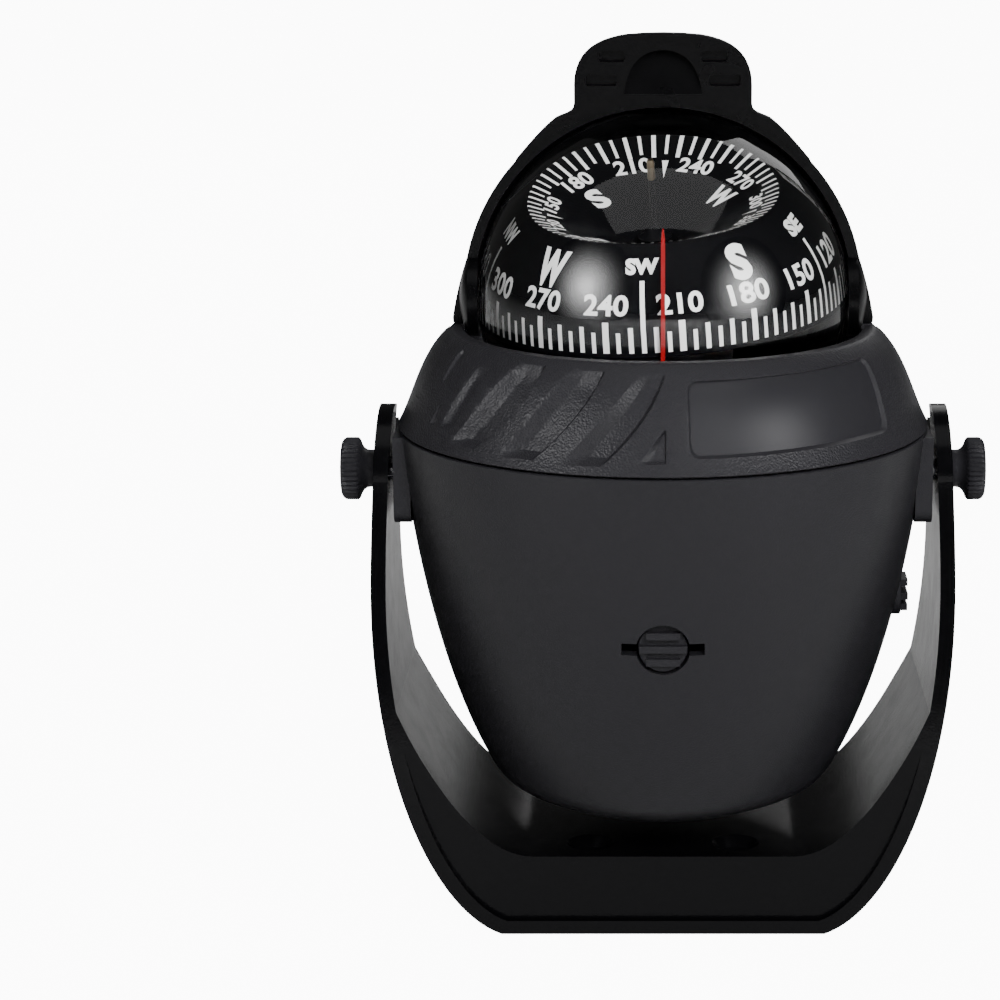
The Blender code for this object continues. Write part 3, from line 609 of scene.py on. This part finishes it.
def make_hood():
    """The hood with its round ears, its legs and the grip tab with a finger scoop."""
    ear_r, ear_in, scoop_foot, scoop_slope, slot_rise = 5.2, 24.8, 109.4, 0.26, 1.45
    hood = hood_sweep()
    cheek = [(0, ear_in)] + [(r, sqrt(ear_in ** 2 - r * r)) for r in (1.3, 2.6, 3.9, ear_r)]
    cheek += bezier((ear_r, 25.6), (4.2, 26.3), (2.2, 26.8), (0, 27.0), 10)
    for facing in ("X", "-X"):
        join(hood, turned("ear", cheek, "hood_black", facing, (0, 0, DOME_Z), 64, 2.0))
    leg = bezier((24.57, 91.5), (25.45, 89.2), (26.95, 85.6), (27.85, 80.0), 16)
    leg += [(27.8, 79.4), (27.6, 79.1), (26.2, 79.1), (25.4, 82.0), (25.2, 89.6), (24.4, 91.4)]
    for sign in (-1, 1):
        join(hood, prism("leg", [(sign * x, z) for x, z in leg], "hood_black", "Y", 0.02, 1.6))
    top = [(0, 117.3), (2.5, 117.24)] + bezier((4.9, 117.05), (9.0, 116.4), (11.6, 114.6), (11.6, 110.6), 14)
    flare = [(11.6, 108.3)] + bezier((11.6, 108.1), (11.7, 106.9), (12.8, 106.9), (14.0, 106.3), 6)[1:]
    flare += bezier((14.0, 106.3), (15.6, 105.1), (17.2, 103.3), (19.3, 100.8), 8)[1:]
    foot = [(18.6, 100.4), (15.0, 103.9), (10.0, 106.4), (0, 108.0)]
    join(hood, prism("grip", mirrored(top + flare + foot), "hood_black", "Y", -0.2, 2.2))
    arch = bezier((0, 115.1), (2.9, 115.1), (4.6, 113.2), (5.1, scoop_foot), 14)
    scoop = prism("arch", mirrored(arch), "hood_black", "Y", -1.0, 1.1)
    for vertex in scoop.data.vertices:
        if vertex.co.y > 0:
            vertex.co.y = (-0.1 + (vertex.co.z / MM - scoop_foot) * scoop_slope) * MM
    cut(hood, scoop)
    for sign in (-1, 1):
        for inner, outer, low in ((4.95, 8.4, 113.6), (6.0, 10.1, 110.5)):
            slot = [(inner, low), (outer, low), (outer, low + slot_rise), (inner, low + slot_rise)]
            slot = [(sign * x, z) for x, z in rounded(slot, 0.45, 4)]
            cut(hood, prism("grip_slot", slot, "hood_black", "Y", -1.0, 0.8))
    soften(hood, 0.14, 45)
    return show(hood, "hood", "hood_black", "hood")


# ---------------------------------------------------------------- card
CARD_FOOT, CARD_RIM = -2.9, 9.2     # heights over the needle's tip
CARD_SIDE = ((CARD_R, 0.0), (CARD_R, 3.3), (15.2, 5.8), (12.5, CARD_RIM))
SKIN = [(CARD_R, CARD_FOOT)] + bezier(*CARD_SIDE, 40)
DISH_FROM, DISH_TO = (2.2, 5.6), (12.1, CARD_RIM)       # (radius, height) of the dish's inner and outer edge
SKIRT_PROUD, DISH_PROUD = 0.03, 0.05    # how far the print stands off


def skin_radius(z):
    """The card's outer radius at a height above its pivot."""
    for (r0, z0), (r1, z1) in zip(SKIN, SKIN[1:]):
        if z0 <= z <= z1:
            return r0 + (r1 - r0) * (z - z0) / (z1 - z0)
    return SKIN[-1][0]


def make_card():
    """The card: a skirt that is read from the side and a dish that is read from above."""
    skin = [(17.0, CARD_FOOT), (CARD_R, -2.8)] + bezier(*CARD_SIDE, 20)
    dish = [(12.35, 9.25), DISH_TO, (2.35, 5.65), (2.2, 5.5), (2.2, 3.2), (1.3, 3.2), (1.3, 1.5),
            (3.2, 1.5), (3.2, 4.8)]
    under = [(12.1, 8.2), (14.4, 5.3), (16.2, 0.0), (16.2, CARD_FOOT)]
    card = lathe("card_shell", skin + dish + under, "card_black", 144, 30)
    card.data.transform(Matrix.Scale(MM, 4) @ CARD_PLACE @ Matrix.Scale(1 / MM, 4))
    return show(card, "card", "card_black", "card")


def wrap_skirt(u, z, bearing_deg):
    """A point on the skirt. u runs to the right as seen from outside, bearings clockwise from the card's north."""
    r = skin_radius(z)
    a = radians(bearing_deg) - u / r
    return Vector(((r + SKIRT_PROUD) * sin(a), (r + SKIRT_PROUD) * cos(a), z))


def wrap_dish(u, v, bearing_deg, radius):
    """A point on the dish. v runs outwards from the given radius."""
    r = radius + v
    (r0, z0), (r1, z1) = DISH_FROM, DISH_TO
    z = min(z0 + (r - r0) * (z1 - z0) / (r1 - r0), 9.25) + DISH_PROUD
    a = radians(bearing_deg)
    return Vector((r * sin(a) + u * cos(a), r * cos(a) - u * sin(a), z))


def glyphs(text, height, bold):
    """A centred line of text as flat triangles, cut small enough to wrap round a curve."""
    curve = bpy.data.curves.new("glyphs", "FONT")
    curve.body = text
    curve.size = 1.0
    curve.offset = bold
    curve.space_character = 1.02
    curve.resolution_u = 4
    holder = bpy.data.objects.new("glyphs", curve)
    bpy.context.collection.objects.link(holder)
    bpy.context.view_layer.update()
    mesh = bpy.data.meshes.new_from_object(holder.evaluated_get(bpy.context.evaluated_depsgraph_get()))
    bpy.data.objects.remove(holder, do_unlink=True)
    bpy.data.curves.remove(curve)
    bm = bmesh.new()
    bm.from_mesh(mesh)
    bpy.data.meshes.remove(mesh)
    bmesh.ops.triangulate(bm, faces=bm.faces)
    for _ in range(2):
        long_edges = [e for e in bm.edges if e.calc_length() > 0.18]
        if long_edges:
            bmesh.ops.subdivide_edges(bm, edges=long_edges, cuts=1)
            bmesh.ops.triangulate(bm, faces=bm.faces)
    xs, ys = [v.co.x for v in bm.verts], [v.co.y for v in bm.verts]
    scale = height / (max(ys) - min(ys))
    centre_x, centre_y = (min(xs) + max(xs)) / 2, (min(ys) + max(ys)) / 2
    points = [((v.co.x - centre_x) * scale, (v.co.y - centre_y) * scale) for v in bm.verts]
    faces = [[v.index for v in f.verts] for f in bm.faces]
    bm.free()
    return points, faces, (max(xs) - min(xs)) * scale


class Print:
    """Gathers the white print into one mesh."""

    def __init__(self):
        self.verts, self.faces = [], []

    def add(self, points, faces):
        base = len(self.verts)
        self.verts += points
        self.faces += [[base + i for i in f] for f in faces]

    def skirt_text(self, text, bearing, z, height, width, bold):
        points, faces, wide = glyphs(text, height, bold)
        squeeze = width / wide
        self.add([wrap_skirt(x * squeeze, z + y, bearing) for x, y in points], faces)

    def skirt_bar(self, bearing, z0, z1, width):
        rows = 6
        points, faces = [], []
        for i in range(rows + 1):
            z = z0 + (z1 - z0) * i / rows
            points += [wrap_skirt(-width / 2, z, bearing), wrap_skirt(width / 2, z, bearing)]
        for i in range(rows):
            faces.append([2 * i, 2 * i + 1, 2 * i + 3, 2 * i + 2])
        self.add(points, faces)

    def dish_text(self, text, bearing, radius, height, width, bold):
        points, faces, wide = glyphs(text, height, bold)
        squeeze = width / wide
        self.add([wrap_dish(x * squeeze, y, bearing, radius) for x, y in points], faces)

    def dish_shape(self, outline, bearing):
        self.add([wrap_dish(u, 0.0, bearing, r) for u, r in outline], [list(range(len(outline)))])


# heading: (letters, their width on the skirt)
LETTERS = {0: ("N", 3.2), 90: ("E", 2.5), 180: ("S", 2.7), 270: ("W", 4.0)}
BETWEEN = {45: ("NE", 3.6), 135: ("SE", 3.5), 225: ("SW", 3.8), 315: ("NW", 4.0)}


def make_print():
    """The card's white marks, figures and letters.

    The skirt is read from its near side, so its print stands half a turn round from the heading that it names.
    """
    bar_foot = -2.3
    white = Print()
    for value in range(0, 360, 5):
        bearing = value + 180.0
        if value % 30 == 0:
            length, width = 3.6, 0.75
        elif value % 10 == 0:
            length, width = 3.0, 0.57
        else:
            length, width = 2.4, 0.5
        if value in BETWEEN:
            length, width = 8.0, 0.55
        white.skirt_bar(bearing, bar_foot, bar_foot + length, width)
        inner, half = (10.5, 0.17) if value % 10 == 0 else (10.8, 0.13)
        mark = [(-half, inner), (half, inner), (half, 12.1), (half, 12.35), (-half, 12.35), (-half, 12.1)]
        white.dish_shape(mark, value)
        if value % 30 == 0:
            digits = str(value)
            white.skirt_text(digits, bearing, 3.15, 2.3, 1.8 * len(digits), 0.03)
            white.dish_text(f"{value:03d}", value, 9.8, 1.4, 3.0, 0.03)
    for value, (letter, width) in LETTERS.items():
        white.skirt_text(letter, value + 180.0, 6.3, 3.65, width, 0.06)
        white.dish_text(letter, value, 7.5, 2.3, 0.66 * width, 0.05)
    for value, (letters, width) in BETWEEN.items():
        white.skirt_text(letters, value + 180.0, 7.1, 1.6, width, 0.06)
        white.dish_shape([(0.0, 8.5), (0.26, 10.2), (-0.26, 10.2)], value)
    mesh = bpy.data.meshes.new("card_print")
    mesh.from_pydata([tuple(v) for v in white.verts], [], white.faces)
    mesh.validate()
    mesh.transform(Matrix.Scale(MM, 4) @ CARD_PLACE @ NORTH)
    mesh.materials.append(LOOKS["print_white"])
    mesh.shade_smooth()
    made = bpy.data.objects.new("card_print", mesh)
    bpy.context.collection.objects.link(made)
    return show(made, "card", "card_black")


def make_card_post():
    """The post on the middle of the card, black with a bare metal tip."""
    tip_from = 11.9
    stem = [(0, 5.9), (1.6, 5.9), (0.9, 6.4), (0.4, 7.2), (0.3, 11.8), (0.38, 12.0)]
    tip = [(0.38, 13.9), (0.3, 14.2), (0, 14.25)]
    post = lathe("card_pointer", stem + tip, "card_black", 40)
    post.data.materials.append(LOOKS["worn_brass"])
    for face in post.data.polygons:
        if face.center.z > tip_from * MM:
            face.material_index = 1
    post.data.transform(Matrix.Scale(MM, 4) @ CARD_PLACE @ Matrix.Scale(1 / MM, 4))
    return show(post, "card", "brass", "card_post")


# ---------------------------------------------------------------- controls
def toothed(name, profile, teeth, depth, from_r, facing, look, smooth_deg):
    """A turned piece on the tilt axis whose rim, beyond a radius, is cut into even teeth."""
    steps = teeth * 4
    bm = bmesh.new()
    rings = []
    for r, z in profile:
        if r < 1e-6:
            rings.append([bm.verts.new((0, 0, z))] * steps)
            continue
        ring = []
        for i in range(steps):
            a = 2 * pi * i / steps
            groove = depth * (0.5 - 0.5 * cos(teeth * a)) if from_r < r else 0.0
            ring.append(bm.verts.new(((r - groove) * cos(a), (r - groove) * sin(a), z)))
        rings.append(ring)
    skin_rings(bm, rings)
    bmesh.ops.transform(bm, matrix=along(facing, (0, 0, PIVOT_Z)), verts=bm.verts)
    return add_object(name, bm, look, smooth_deg)


def make_washer(side, facing):
    """A serrated washer between a pad and an arm."""
    profile = [(2.0, 35.5), (3.3, 35.5), (3.3, 35.85), (2.0, 35.85)]
    washer = toothed(f"washer_{side}", profile, 26, 0.3, 3.0, facing, "hood_black", 30)
    return show(washer, "compass", "inner_black", f"tooth_washer_{side}")


def make_knob(side, facing):
    """A thumbscrew head with a knurled edge and a smooth face."""
    profile = [(1.85, 38.4), (2.45, 38.4), (2.55, 38.5), (2.5, 39.1), (2.6, 39.6), (2.9, 40.0), (3.4, 40.3),
               (3.95, 40.5), (4.2, 40.75), (4.2, 42.3), (3.95, 42.7), (3.6, 42.9), (0, 42.9), (0, 41.6),
               (1.85, 41.6)]
    knob = toothed(f"knob_head_{side}", profile, 36, 0.26, 3.9, facing, "case_black", 50)
    return show(knob, f"knob_{side}", "case_black", f"knob_{side}")


def make_plug(name, facing, face_at, height):
    """A compensator plug: a round head with three ribs across it, on its shaft."""
    rib_half = 0.45
    plug = [(0, 9.4), (1.8, 9.4), (1.8, face_at - 4.0), (PLUG_R, face_at - 4.0), (PLUG_R, face_at - 1.0),
            (3.0, face_at - 0.9), (0, face_at - 0.9)]
    body = turned(f"{name}_head", plug, "case_black", facing, (0, 0, height), 48)
    for step in (-1.7, 0.0, 1.7):
        half = sqrt(PLUG_R ** 2 - (abs(step) + rib_half) ** 2) - 0.1
        low, high = height + step - rib_half, height + step + rib_half
        if facing == "X":
            rib = box("rib", (face_at - 1.4, -half, low), (face_at, half, high), "case_black")
        else:
            rib = box("rib", (-half, -face_at, low), (half, 1.4 - face_at, high), "case_black")
        join(body, rib)
    soften(body, 0.12)
    return show(body, name, "case_black", f"{name}_plug")


# ---------------------------------------------------------------- put together
make_bracket()
make_bowl()
finish_bezel(make_bezel())
make_dome()
make_hood()
make_card()
make_print()
make_card_post()
for side_name, side_facing in (("left", "-X"), ("right", "X")):
    make_knob(side_name, side_facing)
    make_washer(side_name, side_facing)
make_plug("compensator_front", "-Y", 31.5, FRONT_PLUG_Z)
make_plug("compensator_side", "X", 32.9, SIDE_PLUG_Z)

for entry in frame["record"]["subparts"]:
    piece = frame["nodes"][entry["node"]]
    if entry["material_slot"] in LOOKS:
        piece.data.materials.clear()
        piece.data.materials.append(LOOKS[entry["material_slot"]])

# ---------------------------------------------------------------- camera, floor and lights
eye = bpy.data.cameras.new("eye")
eye.lens = 104.8
eye.sensor_width = 36.0
eye.shift_x, eye.shift_y = -0.163, -0.032
eye.clip_start = 0.01
camera = bpy.data.objects.new("eye", eye)
camera.location = (0.0, -0.3806, 0.1446)
camera.rotation_euler = (radians(77.4), 0.0, 0.0)
bpy.context.collection.objects.link(camera)
bpy.context.scene.camera = camera

floor_material, floor_nodes, floor_links = new_material("floor")
floor_shader = floor_nodes["Principled BSDF"]
floor_shader.inputs["Base Color"].default_value = (0.55, 0.55, 0.55, 1)
floor_shader.inputs["Roughness"].default_value = 0.8
floor_shader.inputs["Specular IOR Level"].default_value = 0.1
floor_glow = floor_nodes.new("ShaderNodeEmission")
floor_glow.inputs["Strength"].default_value = 18.0
floor_path = floor_nodes.new("ShaderNodeLightPath")
floor_share = floor_nodes.new("ShaderNodeMath")
floor_share.operation = "MULTIPLY"
floor_share.inputs[1].default_value = 0.62
floor_mix = floor_nodes.new("ShaderNodeMixShader")
floor_links.new(floor_path.outputs["Is Camera Ray"], floor_share.inputs[0])
floor_links.new(floor_share.outputs[0], floor_mix.inputs[0])
floor_links.new(floor_shader.outputs["BSDF"], floor_mix.inputs[1])
floor_links.new(floor_glow.outputs["Emission"], floor_mix.inputs[2])
floor_links.new(floor_mix.outputs[0], floor_nodes["Material Output"].inputs["Surface"])
floor = box("floor", (-4000, -4000, -5.0), (4000, 4000, -0.05))
floor.data.materials.append(floor_material)

TARGET = Vector((0.0, 0.0, 0.07))       # metres, as are the lights' places and sizes
DISC_DISTANCE, DISC_R, DISC_FADE = 0.80, 0.44, 3.0


def light_disc(name, azimuth_deg, height_deg, level):
    """A round soft light that dims towards its edge. Azimuth runs from the front towards +X.

    It shows only in shiny and clear surfaces and lights no matt ones.
    """
    made, nodes, links = new_material(name)
    nodes.remove(nodes["Principled BSDF"])
    glow = nodes.new("ShaderNodeEmission")
    place = nodes.new("ShaderNodeTexCoord")
    ball = nodes.new("ShaderNodeTexGradient")
    ball.gradient_type = "SPHERICAL"
    size = nodes.new("ShaderNodeVectorMath")
    size.operation = "SCALE"
    size.inputs["Scale"].default_value = 1.0 / DISC_R
    fall = nodes.new("ShaderNodeMath")
    fall.operation = "POWER"
    fall.inputs[1].default_value = DISC_FADE
    spread = nodes.new("ShaderNodeMath")
    spread.operation = "MULTIPLY"
    spread.inputs[1].default_value = level
    links.new(place.outputs["Object"], size.inputs[0])
    links.new(size.outputs[0], ball.inputs["Vector"])
    links.new(ball.outputs["Fac"], fall.inputs[0])
    links.new(fall.outputs[0], spread.inputs[0])
    links.new(spread.outputs[0], glow.inputs["Strength"])
    links.new(glow.outputs["Emission"], nodes["Material Output"].inputs["Surface"])
    bm = bmesh.new()
    bmesh.ops.create_circle(bm, cap_ends=True, radius=DISC_R, segments=64)
    mesh = bpy.data.meshes.new(name)
    bm.to_mesh(mesh)
    bm.free()
    mesh.materials.append(made)
    disc = bpy.data.objects.new(name, mesh)
    bpy.context.collection.objects.link(disc)
    a, h = radians(azimuth_deg), radians(height_deg)
    disc.location = TARGET + DISC_DISTANCE * Vector((sin(a) * cos(h), -cos(a) * cos(h), sin(h)))
    disc.rotation_euler = (TARGET - disc.location).to_track_quat("-Z", "Y").to_euler()
    disc.visible_camera = False
    disc.visible_diffuse = False


def softbox(name, at, aim, size, level):
    """A flat soft light of an even level over its face."""
    lamp = bpy.data.lights.new(name, "AREA")
    lamp.shape = "RECTANGLE"
    lamp.size, lamp.size_y = size
    lamp.energy = level * pi * size[0] * size[1]
    holder = bpy.data.objects.new(name, lamp)
    holder.location = at
    holder.rotation_euler = (Vector(aim) - Vector(at)).to_track_quat("-Z", "Y").to_euler()
    bpy.context.collection.objects.link(holder)
    holder.visible_camera = False
    return holder


light_disc("left", -48.0, 13.0, 30.0)
light_disc("right", 52.0, 10.5, 28.0)
softbox("above", (0.0, -0.24, 0.70), (0.0, -0.24, 0.0), (0.80, 0.54), 0.9)
softbox("behind", (0.25, 0.75, 0.56), TARGET, (0.50, 0.50), 1.5)
front = softbox("front", (0.30, -0.85, 0.55), TARGET, (0.60, 0.40), 43.0)
rear = softbox("rear", (-0.25, 0.90, 0.55), TARGET, (0.60, 0.50), 6.0)
for fill in (front, rear):      # these two light the matt surfaces and show in no reflection
    fill.visible_glossy = False
    fill.visible_transmission = False

world = bpy.data.worlds.new("studio")
bpy.context.scene.world = world
world.use_nodes = True
sky = world.node_tree.nodes["Background"]
sky.inputs["Color"].default_value = (1.0, 1.0, 1.0, 1)
sky_path = world.node_tree.nodes.new("ShaderNodeLightPath")
sky_level = world.node_tree.nodes.new("ShaderNodeMapRange")
sky_level.inputs["To Min"].default_value = 0.06
sky_level.inputs["To Max"].default_value = 1.0
world.node_tree.links.new(sky_path.outputs["Is Camera Ray"], sky_level.inputs["Value"])
world.node_tree.links.new(sky_level.outputs["Result"], sky.inputs["Strength"])
